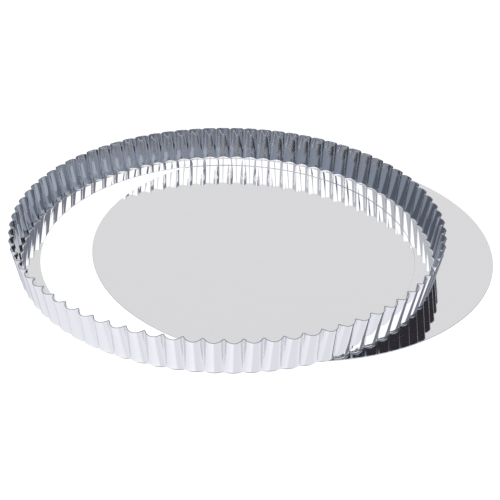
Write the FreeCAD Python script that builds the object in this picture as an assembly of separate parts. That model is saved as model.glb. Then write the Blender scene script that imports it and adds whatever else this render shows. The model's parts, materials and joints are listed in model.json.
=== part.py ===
# Round fluted tart pan with a loose base, in bright tinplate.
#
# The pan is two pressed pieces of sheet. The loose base is a plain flat disc. The fluted ring is a
# shallow wall of outward-bulging flutes that leans outward, with a flat lip turned in at its foot.
# The pieces are laid out as for packing: the base lies flat, and the ring stands on it, set to one side.
#
# Units are millimetres. Origin: centre of the base's underside. +Z is up, -Y is the front, and the ring
# is set off to the left and a little to the front.

import FreeCAD
import Part

import math
import os

# Driving dimensions
FLUTE_COUNT = 80
RING_SHEET = 0.4  # thickness of the ring's sheet
BASE_SHEET = 0.5  # thickness of the base's sheet
RING_HEIGHT = 26.3
RIM_RADIUS = 150.5  # over the flutes' tips, at the rim
RIM_FLUTE_DEPTH = 3.6  # from tip to valley, at the rim
FOOT_RADIUS = 146.0  # over the flutes' tips, where wall and lip would meet in a sharp corner
FOOT_FLUTE_DEPTH = 1.7
LIP_OPENING_RADIUS = 131.5
BASE_RADIUS = 142.4
BASE_EDGE_ROUND = 0.12  # rolled edge that blanking leaves on the base
VALLEY_RADIUS = 0.5  # outer face's radius in the valley between two flutes
TIP_BEND_HEIGHT = 1.7  # height at which the foot's bend runs out into the wall, along the flutes' tips
VALLEY_BEND_HEIGHT = 1.0  # and along their valleys
BEND_STEPS = 5  # sections along the bend
RING_TO_LEFT = 45.4  # the ring's centre stands this far along -X from the base's centre
RING_TO_FRONT = 10.6  # and this far along -Y
RING_TURN = 2.8  # degrees from +X round to the first flute's tip

HALF_PITCH = math.pi / FLUTE_COUNT
FLUTE_PITCH = 2 * HALF_PITCH


def tip_radius(height):
    """Outer radius over the flutes' tips on the straight wall, carried down to the sharp corner."""
    return FOOT_RADIUS + (RIM_RADIUS - FOOT_RADIUS) * height / RING_HEIGHT


def valley_radius(height):
    """Outer radius at the flutes' valleys on the straight wall."""
    foot = FOOT_RADIUS - FOOT_FLUTE_DEPTH
    rim = RIM_RADIUS - RIM_FLUTE_DEPTH
    return foot + (rim - foot) * height / RING_HEIGHT


def slope(radius_at):
    """Angle by which a line of the wall leans outward from upright."""
    return math.atan2(radius_at(RING_HEIGHT) - radius_at(0.0), RING_HEIGHT)


def bend_radius(lean, rise):
    """Radius of the arc that leaves the lip level and meets a wall of this lean after this rise."""
    return rise / (1 - math.sin(lean))


def bend_setback(lean, rise, climbed):
    """How far inside its upper end the bend's arc still is, once it has climbed this much."""
    radius = bend_radius(lean, rise)
    turned = math.acos(max(-1.0, min(1.0, 1 - climbed / radius)))
    return radius * (math.cos(lean) - math.sin(turned))


def bulge_arc(tip, valley, valley_round):
    """Radius and centre distance of the flute's arc, tangent to the small arcs in the valleys beside it."""
    far = valley + valley_round
    along = tip - far * math.cos(HALF_PITCH)
    across = far * math.sin(HALF_PITCH)
    radius = (along**2 + across**2 - valley_round**2) / (2 * (along + valley_round))
    return radius, tip - radius


def polar(radius, angle, height):
    return FreeCAD.Vector(radius * math.cos(angle), radius * math.sin(angle), height)


def fluted_wire(tip, valley, valley_round, height):
    """Closed outline of the flutes at one height: an arc for each bulge and a small one for each valley."""
    radius, centre = bulge_arc(tip, valley, valley_round)
    far = valley + valley_round
    bulge_centre = FreeCAD.Vector(centre, 0, height)
    valley_centre = polar(far, HALF_PITCH, height)
    towards = (valley_centre - bulge_centre).normalize()
    joint = bulge_centre + towards * radius
    joint_radius = math.hypot(joint.x, joint.y)
    joint_angle = math.atan2(joint.y, joint.x)
    edges = []
    for k in range(FLUTE_COUNT):
        middle = math.radians(RING_TURN) + k * FLUTE_PITCH
        start = polar(joint_radius, middle - joint_angle, height)
        end = polar(joint_radius, middle + joint_angle, height)
        next_start = polar(joint_radius, middle + FLUTE_PITCH - joint_angle, height)
        edges.append(Part.Arc(start, polar(tip, middle, height), end).toShape())
        low = polar(valley, middle + HALF_PITCH, height)
        edges.append(Part.Arc(end, low, next_start).toShape())
    return Part.Wire(edges)


def line_up(radius_at, bend_height, inset, floor):
    """One line up a face of the sheet, as its radius by height, and the height where its bend ends."""
    lean = slope(radius_at)
    end = bend_height + inset * math.sin(lean)

    def radius(height):
        straight = radius_at(max(height, end)) - inset / math.cos(lean)
        return straight - bend_setback(lean, end - floor, min(height, end) - floor)

    return radius, end


def skin_wires(inset, floor):
    """Outlines up one face of the sheet: inset is 0 outside and the sheet's thickness inside."""
    tip_line, end = line_up(tip_radius, TIP_BEND_HEIGHT, inset, floor)
    valley_line, _ = line_up(valley_radius, VALLEY_BEND_HEIGHT, inset, floor)
    turns = [0.5 * math.pi * step / BEND_STEPS for step in range(BEND_STEPS + 1)]
    heights = [floor + (end - floor) * (1 - math.cos(turn)) for turn in turns]
    heights.append(RING_HEIGHT)
    wires = [fluted_wire(tip_line(z), valley_line(z), VALLEY_RADIUS + inset, z) for z in heights]
    return wires[:-1], wires[-1]


def skin_faces(wires, rim):
    """One face of the sheet: a smooth bend at the foot and a straight-ruled wall above it."""
    bend = Part.makeLoft(wires, False, False)
    wall = Part.makeLoft([wires[-1], rim], False, True)
    return bend.Faces + wall.Faces


def level_face(outline, hole):
    face = Part.Face([outline, hole])
    face.validate()
    return face


def make_fluted_ring():
    outer_wires, outer_rim = skin_wires(0.0, 0.0)
    inner_wires, inner_rim = skin_wires(RING_SHEET, RING_SHEET)
    centre, up = FreeCAD.Vector(0, 0, 0), FreeCAD.Vector(0, 0, 1)
    low_hole = Part.Wire(Part.makeCircle(LIP_OPENING_RADIUS, centre, up))
    high_hole = Part.Wire(Part.makeCircle(LIP_OPENING_RADIUS, centre + up * RING_SHEET, up))
    faces = skin_faces(outer_wires, outer_rim) + skin_faces(inner_wires, inner_rim)
    faces.append(level_face(outer_wires[0], low_hole))
    faces.append(level_face(inner_wires[0], high_hole))
    faces.append(level_face(outer_rim, inner_rim))
    faces += Part.makeLoft([low_hole, high_hole], False, True).Faces
    shell = Part.Shell(faces)
    if not shell.isClosed():
        shell.sewShape()
    ring = Part.Solid(shell)
    if ring.Volume < 0:
        ring.reverse()
    ring.translate(FreeCAD.Vector(-RING_TO_LEFT, -RING_TO_FRONT, BASE_SHEET))
    return ring


def make_loose_base():
    base = Part.makeCylinder(BASE_RADIUS, BASE_SHEET)
    top_edge = [e for e in base.Edges if e.Length > BASE_RADIUS and e.CenterOfMass.z > 0.5 * BASE_SHEET]
    return base.makeFillet(BASE_EDGE_ROUND, top_edge)


def main():
    os.makedirs("parts", exist_ok=True)
    for name, shape in (("fluted_ring", make_fluted_ring()), ("loose_base", make_loose_base())):
        box = shape.BoundBox
        print(name, "valid", shape.isValid(), "closed", shape.isClosed(), "solids", len(shape.Solids))
        print("  faces", len(shape.Faces), "volume", round(shape.Volume, 1))
        print("  size", round(box.XLength, 2), round(box.YLength, 2), round(box.ZLength, 2))
        shape.exportStep(os.path.join("parts", name + ".step"))


main()
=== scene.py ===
# Round fluted tart pan with a loose base, in bright tinplate, on a pale studio floor.
#
# Metres, in the CAD frame: the base lies flat on the floor with its centre at the origin, and the fluted
# ring stands on it, set off to the left. Both visual pieces are built from formulas here and replace the
# plain CAD nodes, so that the sheet has its real small unevenness and the flutes reflect smoothly.

import json
import math
from typing import NamedTuple

import bpy
import numpy as np
from mathutils import Matrix, Vector


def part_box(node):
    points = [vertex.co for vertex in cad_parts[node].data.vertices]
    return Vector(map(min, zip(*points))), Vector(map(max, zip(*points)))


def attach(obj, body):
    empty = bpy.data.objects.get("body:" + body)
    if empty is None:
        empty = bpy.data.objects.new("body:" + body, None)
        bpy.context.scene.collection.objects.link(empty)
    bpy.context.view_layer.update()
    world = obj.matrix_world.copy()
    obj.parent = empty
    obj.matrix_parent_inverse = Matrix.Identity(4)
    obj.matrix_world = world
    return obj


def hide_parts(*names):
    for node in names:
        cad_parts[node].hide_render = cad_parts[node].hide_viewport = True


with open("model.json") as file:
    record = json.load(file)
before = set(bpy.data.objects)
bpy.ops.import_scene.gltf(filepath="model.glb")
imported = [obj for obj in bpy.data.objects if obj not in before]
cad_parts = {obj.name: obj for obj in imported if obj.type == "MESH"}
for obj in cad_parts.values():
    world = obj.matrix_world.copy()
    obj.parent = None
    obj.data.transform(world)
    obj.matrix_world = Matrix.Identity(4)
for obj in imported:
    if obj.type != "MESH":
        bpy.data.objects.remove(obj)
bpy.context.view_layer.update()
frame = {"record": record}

rng = np.random.default_rng(27)

# Driving dimensions, in metres and radians
FLUTE_COUNT = 80
RING_SHEET = 0.0004
BASE_SHEET = 0.0005
RING_HEIGHT = 0.0263
RIM_DIP = 0.0006  # how far the rim's cut edge drops from the ridges to the flutes' tips
RIM_RADIUS = 0.1505
RIM_FLUTE_DEPTH = 0.0036
FOOT_RADIUS = 0.1460
FOOT_FLUTE_DEPTH = 0.0017
LIP_OPENING_RADIUS = 0.1315
BASE_RADIUS = 0.14238
VALLEY_RADIUS = 0.0005
TIP_BEND_HEIGHT = 0.0017
VALLEY_BEND_HEIGHT = 0.0010
RING_TURN = math.radians(2.8)
FLUTE_DRIFT = (math.radians(0.38), math.radians(-0.2))  # uneven spacing: once and twice round
HALF_PITCH = math.pi / FLUTE_COUNT

ring_low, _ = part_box("fluted_ring")
base_low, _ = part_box("loose_base")
opening = next(mount for mount in frame["record"]["mounts"] if mount["name"] == "push_out_opening")
RING_CENTRE = Vector((opening["pos_m"][0], opening["pos_m"][1], ring_low.z))
BASE_CENTRE = Vector((0, 0, 0))


# ---------------------------------------------------------------- camera
CAMERA_FROM_RING = Vector((0.0111, -0.5841, 0.3485))  # from the ring's centre at floor level
CAMERA_TILT = math.radians(30.98)
CAMERA_ROLL = math.radians(1.30)
CAMERA_PAN = math.radians(0.42)
LENS_MM = 68.72
SENSOR_MM = 36.0


def make_camera():
    data = bpy.data.cameras.new("camera")
    data.lens = LENS_MM
    data.sensor_width = SENSOR_MM
    data.clip_start = 0.01
    data.clip_end = 50
    camera = bpy.data.objects.new("camera", data)
    bpy.context.scene.collection.objects.link(camera)
    level = Vector((math.sin(CAMERA_PAN), math.cos(CAMERA_PAN), 0))
    forward = level * math.cos(CAMERA_TILT) - Vector((0, 0, math.sin(CAMERA_TILT)))
    side = Vector((math.cos(CAMERA_PAN), -math.sin(CAMERA_PAN), 0))
    up = side.cross(forward)
    right = side * math.cos(CAMERA_ROLL) + up * math.sin(CAMERA_ROLL)
    top = up * math.cos(CAMERA_ROLL) - side * math.sin(CAMERA_ROLL)
    turn = Matrix((right, top, -forward)).transposed().to_4x4()
    place = Vector((RING_CENTRE.x, RING_CENTRE.y, 0)) + CAMERA_FROM_RING
    camera.matrix_world = Matrix.Translation(place) @ turn
    bpy.context.scene.camera = camera


# ---------------------------------------------------------------- meshes
BULGE_STEPS = 16
VALLEY_STEPS = 6


def bulge_arc(tip, valley, valley_round):
    """Radius of a flute's arc, tangent to the small arcs in the valleys beside it."""
    far = valley + valley_round
    along = tip - far * math.cos(HALF_PITCH)
    across = far * math.sin(HALF_PITCH)
    return (along**2 + across**2 - valley_round**2) / (2 * (along + valley_round))


def flute_section(tip, valley, valley_round):
    """One flute's outline, from the middle of one valley to just before the middle of the next.

    Returns radii and angles from the ring's centre, the angles counted from the flute's middle.
    """
    radius = bulge_arc(tip, valley, valley_round)
    bulge_centre = np.array((tip - radius, 0.0))
    far = valley + valley_round
    ridge = far * np.array((math.cos(HALF_PITCH), -math.sin(HALF_PITCH)))
    towards = (ridge - bulge_centre) / np.linalg.norm(ridge - bulge_centre)
    sweep = math.atan2(-towards[1], towards[0])
    t = np.linspace(-sweep, sweep, BULGE_STEPS + 1)
    bulge = bulge_centre + radius * np.column_stack((np.cos(t), np.sin(t)))
    start = math.pi - HALF_PITCH
    end = math.pi - sweep
    t = np.linspace(start, end, VALLEY_STEPS // 2 + 1)[:-1]
    left = ridge + valley_round * np.column_stack((np.cos(t), np.sin(t)))
    right = left[:0:-1] * np.array((1, -1))
    points = np.vstack((left, bulge, right))
    return np.hypot(points[:, 0], points[:, 1]), np.arctan2(points[:, 1], points[:, 0])


def tip_radius(height):
    return FOOT_RADIUS + (RIM_RADIUS - FOOT_RADIUS) * height / RING_HEIGHT


def valley_radius(height):
    foot = FOOT_RADIUS - FOOT_FLUTE_DEPTH
    rim = RIM_RADIUS - RIM_FLUTE_DEPTH
    return foot + (rim - foot) * height / RING_HEIGHT


def slope(radius_at):
    """Angle by which a line of the wall leans outward from upright."""
    return math.atan2(radius_at(RING_HEIGHT) - radius_at(0.0), RING_HEIGHT)


def bend_setback(lean, rise, climbed):
    """How far inside its upper end the foot's bend still is, once it has climbed this much."""
    radius = rise / (1 - math.sin(lean))
    turned = math.acos(max(-1.0, min(1.0, 1 - climbed / radius)))
    return radius * (math.cos(lean) - math.sin(turned))


BEND_STEPS = 10
WALL_STEPS = 8
RIM_ROUND = 0.00008  # the cut edges are eased this much
LAST_WALL_ROW = 0.0003  # below the eased edge, so that its shading stays within the edge
CROWN_ROWS = (0.25, 0.75)  # rows over the rim, by their share of the way through the sheet
CUT_EDGE_ROWS = 3  # rows of faces over the rim, where the sheet was cut
LIP_STEPS = (0.0, 0.006, 0.03, 0.5, 0.9, 0.98)  # rows across the lip, from its opening to the bend


def line_up(radius_at, bend_height, inset, floor):
    """Radius by height along one line up a face of the sheet: a bend at the foot, then straight."""
    lean = slope(radius_at)
    end = bend_height + inset * math.sin(lean)

    def radius(height):
        if height < end:
            setback = bend_setback(lean, end - floor, height - floor)
            return radius_at(end) - inset / math.cos(lean) - setback
        return radius_at(height) - inset / math.cos(lean)

    return radius, end


def skin_rows(inset, floor):
    """Rows of points up one face of the sheet, from the start of the bend at the foot to the rim."""
    tip, end = line_up(tip_radius, TIP_BEND_HEIGHT, inset, floor)
    valley, _ = line_up(valley_radius, VALLEY_BEND_HEIGHT, inset, floor)
    top = RING_HEIGHT - RIM_ROUND
    turns = [0.5 * math.pi * k / BEND_STEPS for k in range(BEND_STEPS)]
    heights = [floor + (end - floor) * (1 - math.cos(turn)) for turn in turns]
    heights += [*np.linspace(end, top - LAST_WALL_ROW, WALL_STEPS), top]
    return [(tip(z), valley(z), VALLEY_RADIUS + inset, z) for z in heights]


TURN_SPREAD = math.radians(0.05)
DEPTH_SPREAD = 0.00007
RIM_CUT_SPREAD = 0.00006
FOOT_SHARE = 0.3  # share of the uneven depth that is left at the foot
RIM_FADE = 8  # power of the height by which the rim's uneven cut fades out below it
RADIUS_MARGIN = 0.00012  # room left inside the CAD ring's radius for the unevenness
HEIGHT_MARGIN = 0.00006  # and below its height


class Unevenness:
    """Small differences from flute to flute, as pressed sheet has them."""

    def __init__(self):
        self.ridge_turn = rng.normal(0, TURN_SPREAD, FLUTE_COUNT)
        self.ridge_depth = rng.normal(0, DEPTH_SPREAD, FLUTE_COUNT)
        self.bulge_depth = rng.normal(0, DEPTH_SPREAD, FLUTE_COUNT)
        self.rim_cut = -np.abs(rng.normal(0, RIM_CUT_SPREAD, FLUTE_COUNT))
        self.ridge_lean = rng.normal(0, TURN_SPREAD, FLUTE_COUNT)


def ring_point_rows():
    """All rows round the sheet's closed profile, each with its share of the way across the lip.

    They go up the outer face, over the rim, down the inner face, and across the lip and back. A share
    of 1 is on the wall, and a negative one is on the lip's cut edge.
    """
    outer = skin_rows(0.0, 0.0)
    inner = skin_rows(RING_SHEET, RING_SHEET)
    profile = [(row, 1.0) for row in outer]
    for part in CROWN_ROWS:
        mixed = [o + part * (i - o) for o, i in zip(outer[-1], inner[-1])]
        mixed[3] = RING_HEIGHT
        profile.append((tuple(mixed), 1.0))
    profile += [(row, 1.0) for row in reversed(inner)]
    profile += [(inner[0], share) for share in reversed(LIP_STEPS)]
    edge = RING_SHEET - RIM_ROUND
    profile += [((*inner[0][:3], edge), -1.0), ((*outer[0][:3], RIM_ROUND), -1.0)]
    profile += [(outer[0], share) for share in LIP_STEPS]
    return profile


def uneven_row(uneven, radius, angle, height):
    """One row of points round the ring: a flute's section, repeated with the flutes' unevenness."""
    part = (angle + HALF_PITCH) / (2 * HALF_PITCH)
    bulge_weight = np.sin(math.pi * np.clip(part, 0, 1)) ** 2
    climb = height / RING_HEIGHT
    turn = uneven.ridge_turn + uneven.ridge_lean * climb
    radii, angles, heights = [], [], []
    for k in range(FLUTE_COUNT):
        after = (k + 1) % FLUTE_COUNT
        depth = (1 - part) * uneven.ridge_depth[k] + part * uneven.ridge_depth[after]
        depth = (1 - bulge_weight) * depth + bulge_weight * uneven.bulge_depth[k]
        radii.append(radius + depth * (FOOT_SHARE + (1 - FOOT_SHARE) * climb) - RADIUS_MARGIN)
        middle = RING_TURN + 2 * HALF_PITCH * k
        angles.append(middle + angle + (1 - part) * turn[k] + part * turn[after])
        cut = (1 - part) * uneven.rim_cut[k] + part * uneven.rim_cut[after] - RIM_DIP * bulge_weight
        heights.append(height + climb**RIM_FADE * (cut - HEIGHT_MARGIN))
    radii, angles, heights = (np.concatenate(values) for values in (radii, angles, heights))
    angles += FLUTE_DRIFT[0] * np.sin(angles) + FLUTE_DRIFT[1] * np.sin(2 * angles)
    return radii, angles, heights


def mark_cut_edge(piece, row_length):
    """Give the faces over the rim the piece's second material slot."""
    slots = np.zeros(len(piece.data.polygons), int)
    first = (BEND_STEPS + WALL_STEPS) * row_length
    slots[first:first + CUT_EDGE_ROWS * row_length] = 1
    piece.data.polygons.foreach_set("material_index", slots)


def build_ring():
    uneven = Unevenness()
    rows = []
    for (tip, valley, valley_round, height), share in ring_point_rows():
        radius, angle = flute_section(tip, valley, valley_round)
        radii, angles, heights = uneven_row(uneven, radius, angle, height)
        if share < 0:
            radii = np.full_like(radii, LIP_OPENING_RADIUS)
        elif share < 1:
            start = LIP_OPENING_RADIUS + RIM_ROUND
            radii = start + share * (radii - start)
        rows.append(np.column_stack((radii * np.cos(angles), radii * np.sin(angles), heights)))
    piece = grid_mesh("fluted_ring_sheet", np.array(rows) + np.array(RING_CENTRE))
    mark_cut_edge(piece, len(rows[0]))
    return piece


def grid_mesh(name, rows):
    """A closed mesh from rows of points, wrapping round both ways."""
    row_count, column_count = rows.shape[:2]
    across = np.arange(column_count)
    faces = []
    for row in range(row_count):
        low, high = row * column_count, (row + 1) % row_count * column_count
        after = (across + 1) % column_count
        faces.append(np.column_stack((low + across, low + after, high + after, high + across)))
    return mesh_object(name, rows.reshape(-1, 3), np.concatenate(faces).tolist())


def mesh_object(name, points, faces):
    mesh = bpy.data.meshes.new(name)
    mesh.from_pydata(points.tolist(), [], faces)
    mesh.polygons.foreach_set("use_smooth", np.ones(len(mesh.polygons), bool))
    mesh.validate()
    mesh.update()
    piece = bpy.data.objects.new(name, mesh)
    bpy.context.scene.collection.objects.link(piece)
    return piece


BASE_RINGS = 24
BASE_STEPS = 360
RING_SPACING = 0.8  # power that sets the rings of points closer together towards the edge
EDGE_EASE = 0.00012
EDGE_SHOULDER = 0.0003  # the flat's last ring of points, this far in from the edge


def build_base():
    """The flat disc: closed profile from the middle of the top over the eased edge to the middle below."""
    flat = [BASE_RADIUS * (k / BASE_RINGS) ** RING_SPACING for k in range(1, BASE_RINGS)]
    top_ease = 0.3 * EDGE_EASE
    under_ease = 0.4 * EDGE_EASE
    profile = [(r, BASE_SHEET) for r in flat]
    profile += [(BASE_RADIUS - EDGE_SHOULDER, BASE_SHEET), (BASE_RADIUS - EDGE_EASE, BASE_SHEET)]
    profile += [(BASE_RADIUS - top_ease, BASE_SHEET - top_ease), (BASE_RADIUS, BASE_SHEET - EDGE_EASE)]
    profile += [(BASE_RADIUS, under_ease), (BASE_RADIUS - under_ease, 0.0)]
    profile += [(BASE_RADIUS - EDGE_SHOULDER, 0.0)]
    profile += [(r, 0.0) for r in reversed(flat)]
    angle = np.linspace(0, 2 * math.pi, BASE_STEPS, endpoint=False)
    circle = np.column_stack((np.cos(angle), np.sin(angle), np.zeros(BASE_STEPS)))
    rows = [r * circle + np.array((0, 0, z)) for r, z in profile]
    points = np.concatenate([*rows, [[0, 0, BASE_SHEET], [0, 0, 0]]]) + np.array(BASE_CENTRE)
    across = np.arange(BASE_STEPS)
    after = (across + 1) % BASE_STEPS
    faces = []
    for row in range(len(rows) - 1):
        low, high = row * BASE_STEPS, (row + 1) * BASE_STEPS
        faces += np.column_stack((high + across, high + after, low + after, low + across)).tolist()
    top, last = len(rows) * BASE_STEPS, (len(rows) - 1) * BASE_STEPS
    faces += [(top, a, b) for a, b in zip(across.tolist(), after.tolist())]
    faces += [(top + 1, last + b, last + a) for a, b in zip(across.tolist(), after.tolist())]
    return mesh_object("loose_base_disc", points, faces)


# ---------------------------------------------------------------- materials
TIN = (0.76, 0.76, 0.765)
CUT_STEEL = (0.26, 0.26, 0.27)
ROLLED_LINES = (60, 2500, 2500)  # noise cells per metre along and across the rolled lines
PATCHES = 60.0  # noise cells per metre of the uneven sheen
LINE_SHADE = 0.975  # how much darker the lines are
LINE_DEPTH = 0.00002
LINE_RANGE = (0.3, 0.7)  # part of the noise that the lines' shade spreads over


def tinplate(name, colour, roughness, grain):
    """Bright tinned sheet: nearly a mirror, with faint rolled lines and a slightly uneven sheen."""
    material = bpy.data.materials.new(name)
    material.use_nodes = True
    nodes, links = material.node_tree.nodes, material.node_tree.links
    shader = nodes["Principled BSDF"]
    shader.inputs["Metallic"].default_value = 1.0
    place = nodes.new("ShaderNodeTexCoord")
    mapping = nodes.new("ShaderNodeMapping")
    mapping.inputs["Scale"].default_value = ROLLED_LINES
    links.new(place.outputs["Object"], mapping.inputs["Vector"])
    lines = nodes.new("ShaderNodeTexNoise")
    lines.inputs["Scale"].default_value = 1.0
    lines.inputs["Detail"].default_value = 3.0
    links.new(mapping.outputs["Vector"], lines.inputs["Vector"])
    patches = nodes.new("ShaderNodeTexNoise")
    patches.inputs["Scale"].default_value = PATCHES
    patches.inputs["Detail"].default_value = 4.0
    links.new(place.outputs["Object"], patches.inputs["Vector"])
    gloss = nodes.new("ShaderNodeMapRange")
    gloss.inputs["To Min"].default_value = roughness[0]
    gloss.inputs["To Max"].default_value = roughness[1]
    links.new(patches.outputs["Fac"], gloss.inputs["Value"])
    links.new(gloss.outputs["Result"], shader.inputs["Roughness"])
    tone = nodes.new("ShaderNodeMapRange")
    tone.inputs["From Min"].default_value = LINE_RANGE[0]
    tone.inputs["From Max"].default_value = LINE_RANGE[1]
    links.new(lines.outputs["Fac"], tone.inputs["Value"])
    mix = nodes.new("ShaderNodeMix")
    mix.data_type = "RGBA"
    mix.inputs["A"].default_value = (*[c * LINE_SHADE for c in colour], 1)
    mix.inputs["B"].default_value = (*colour, 1)
    links.new(tone.outputs["Result"], mix.inputs["Factor"])
    links.new(mix.outputs["Result"], shader.inputs["Base Color"])
    bump = nodes.new("ShaderNodeBump")
    bump.inputs["Strength"].default_value = grain
    bump.inputs["Distance"].default_value = LINE_DEPTH
    links.new(lines.outputs["Fac"], bump.inputs["Height"])
    links.new(bump.outputs["Normal"], shader.inputs["Normal"])
    return material


# ---------------------------------------------------------------- studio
# Bright metal shows what stands round it, so the studio is a room with soft panels, each given by its
# direction from the object in degrees: azimuth 0 is towards the camera and grows to the right, and
# elevation is above the level of the table. A later panel covers an earlier one.
class Panel(NamedTuple):
    colour: tuple
    low: float
    high: float
    edge: float  # width of the soft lower and upper edges
    centre: float = 0.0
    reach: float = 200.0  # half its width
    fade: float = 30.0  # width of its soft sides


ROOM = (0.33, 0.37, 0.46)
PANELS = (
    Panel((1.04, 1.05, 1.12), -95, -38, 14),  # the lit table
    Panel((1.08, 1.09, 1.16), -95, -60, 20),  # brighter close by
    Panel((1.25, 1.25, 1.32), -95, -55, 22, -70, 75, 60),  # its brighter left side
    Panel((0.95, 0.96, 1.03), -66, -48, 8, 45, 45, 15),  # and its duller right side
    Panel((0.40, 0.40, 0.42), -95, -66, 6),  # below, in the object's own shade
    Panel((0.80, 0.81, 0.86), -40, -22, 6, 125, 45, 25),  # the table behind, on the right
    Panel((0.15, 0.17, 0.22), -24, -13, 4, 50, 35, 8),  # dark gaps along the table's far edge
    Panel((0.22, 0.25, 0.31), -24, -15, 4, -10, 35, 15),
    Panel((0.24, 0.28, 0.34), -8, 0, 4),  # dark horizon
    Panel((0.55, 0.61, 0.71), 3, 16, 5, 75, 30, 20),  # pale wall low on the right
    Panel((0.05, 0.05, 0.06), -2, 12, 3, 110, 20, 8),  # and a dark gap beside it
    Panel((0.13, 0.15, 0.19), 3, 22, 4, -95, 35, 15),  # dark curtains on both sides
    Panel((0.045, 0.04, 0.05), 18, 30, 3, 75, 62, 12),
    Panel((0.85, 0.95, 1.10), 22, 31, 3, -30, 34, 20),  # pale band under the softbox
    Panel((0.78, 0.80, 0.86), 30, 95, 4),  # ceiling
    Panel((0.12, 0.12, 0.15), 50, 65, 4, 45, 45, 10),  # dark beam across it
    Panel((0.30, 0.31, 0.38), 30, 60, 4, 120, 35, 10),  # dim corner behind, on the right
    Panel((1.70, 1.70, 1.75), 70, 82, 4, 10, 90, 20),  # lamp overhead
    Panel((1.85, 1.85, 1.88), 32, 53, 2, 5, 80, 12),  # softbox over the camera
    Panel((0.25, 0.29, 0.36), 36, 40, 2, 84, 25, 8),  # its dark lower corner on the right
    Panel((0.20, 0.21, 0.27), 38, 43, 2, -3, 12, 8),  # the camera on its stand
    Panel((0.40, 0.40, 0.42), 43, 54, 2, 3, 4, 3),  # the boom above it
    Panel((0.91, 0.91, 0.92), 20, 60, 6, 180, 32, 24),  # white wall behind the object
)


class Sky:
    """Node builder for the studio's surroundings, as brightness by direction."""

    def __init__(self, tree):
        self.nodes, self.links = tree.nodes, tree.links
        place = self.nodes.new("ShaderNodeTexCoord")
        split = self.nodes.new("ShaderNodeSeparateXYZ")
        self.links.new(place.outputs["Generated"], split.inputs["Vector"])
        x, y, z = split.outputs
        self.elevation = self.math("DEGREES", self.math("ARCSINE", z))
        self.azimuth = self.math("DEGREES", self.math("ARCTAN2", x, self.math("MULTIPLY", y, -1.0)))

    def math(self, operation, *values):
        node = self.nodes.new("ShaderNodeMath")
        node.operation = operation
        for socket, value in zip(node.inputs, values):
            if isinstance(value, (int, float)):
                socket.default_value = value
            else:
                self.links.new(value, socket)
        return node.outputs[0]

    def step(self, value, middle, width, rising=True):
        """A smooth step of this width, up from 0 to 1 or down from 1 to 0."""
        node = self.nodes.new("ShaderNodeMapRange")
        node.interpolation_type = "SMOOTHSTEP"
        node.inputs["From Min"].default_value = middle - width / 2
        node.inputs["From Max"].default_value = middle + width / 2
        node.inputs["To Min"].default_value = 0.0 if rising else 1.0
        node.inputs["To Max"].default_value = 1.0 if rising else 0.0
        self.links.new(value, node.inputs["Value"])
        return node.outputs["Result"]

    def cover(self, panel):
        """How much of this direction the panel covers."""
        above = self.step(self.elevation, panel.low, panel.edge)
        below = self.step(self.elevation, panel.high, panel.edge, rising=False)
        share = self.math("MULTIPLY", above, below)
        if panel.reach < 180:
            turned = self.math("WRAP", self.math("SUBTRACT", self.azimuth, panel.centre), 180.0, -180.0)
            beside = self.step(self.math("ABSOLUTE", turned), panel.reach, panel.fade, rising=False)
            share = self.math("MULTIPLY", share, beside)
        return share

    def blend(self, factor, first, second):
        node = self.nodes.new("ShaderNodeMix")
        node.data_type = "RGBA"
        self.links.new(factor, node.inputs["Factor"])
        for name, value in (("A", first), ("B", second)):
            if isinstance(value, tuple):
                node.inputs[name].default_value = (*value, 1)
            else:
                self.links.new(value, node.inputs[name])
        return node.outputs["Result"]


WHITE_STRENGTH = 1.1


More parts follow.
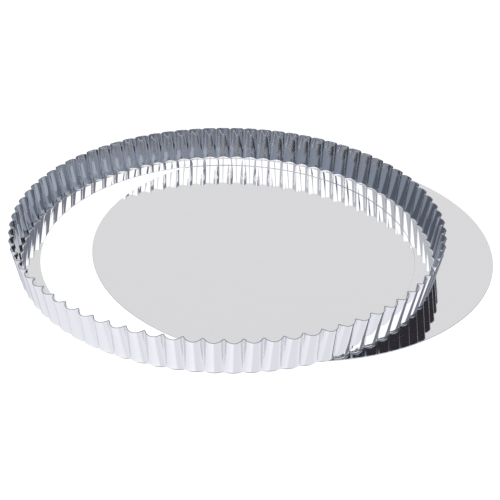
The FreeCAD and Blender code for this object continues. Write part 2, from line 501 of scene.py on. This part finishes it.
def white_to_camera(tree, output, other):
    """Show plain white to the camera itself, and the other shader to everything that reflects it."""
    kind = "ShaderNodeEmission" if output == "Material Output" else "ShaderNodeBackground"
    white = tree.nodes.new(kind)
    white.inputs["Color"].default_value = (1, 1, 1, 1)
    white.inputs["Strength"].default_value = WHITE_STRENGTH
    path = tree.nodes.new("ShaderNodeLightPath")
    mix = tree.nodes.new("ShaderNodeMixShader")
    tree.links.new(path.outputs["Is Camera Ray"], mix.inputs[0])
    tree.links.new(other, mix.inputs[1])
    tree.links.new(white.outputs[0], mix.inputs[2])
    tree.links.new(mix.outputs[0], tree.nodes[output].inputs["Surface"])


def build_surroundings():
    world = bpy.data.worlds.new("studio")
    bpy.context.scene.world = world
    world.use_nodes = True
    sky = Sky(world.node_tree)
    colour = ROOM
    for panel in PANELS:
        colour = sky.blend(sky.cover(panel), colour, panel.colour)
    background = world.node_tree.nodes["Background"]
    sky.links.new(colour, background.inputs["Color"])
    white_to_camera(world.node_tree, "World Output", background.outputs[0])


FLOOR_REACH = 6.0
FLOOR_GAP = 0.0001  # between the table and the base, so that their faces do not coincide


def build_floor():
    """A plain white table, seen by the camera only. The metal shows the lit table among the panels."""
    size = FLOOR_REACH
    mesh = bpy.data.meshes.new("floor")
    corners = [(-size, -size, 0), (size, -size, 0), (size, size, 0), (-size, size, 0)]
    mesh.from_pydata(corners, [], [(0, 1, 2, 3)])
    floor = bpy.data.objects.new("floor", mesh)
    bpy.context.scene.collection.objects.link(floor)
    floor.location.z = base_low.z - FLOOR_GAP
    material = bpy.data.materials.new("white_table")
    material.use_nodes = True
    tree = material.node_tree
    tree.nodes.remove(tree.nodes["Principled BSDF"])
    clear = tree.nodes.new("ShaderNodeBsdfTransparent")
    white_to_camera(tree, "Material Output", clear.outputs[0])
    floor.data.materials.append(material)


make_camera()
ring = build_ring()
ring.data.materials.append(tinplate("ring_tinplate", TIN, (0.02, 0.05), 0.04))
ring.data.materials.append(tinplate("cut_edge_steel", CUT_STEEL, (0.30, 0.50), 0.6))
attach(ring, "ring")
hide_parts("fluted_ring")

base = build_base()
base.data.materials.append(tinplate("base_tinplate", TIN, (0.03, 0.06), 0.15))
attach(base, "base")
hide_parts("loose_base")

build_floor()
build_surroundings()
bpy.context.scene.view_settings.view_transform = "Standard"
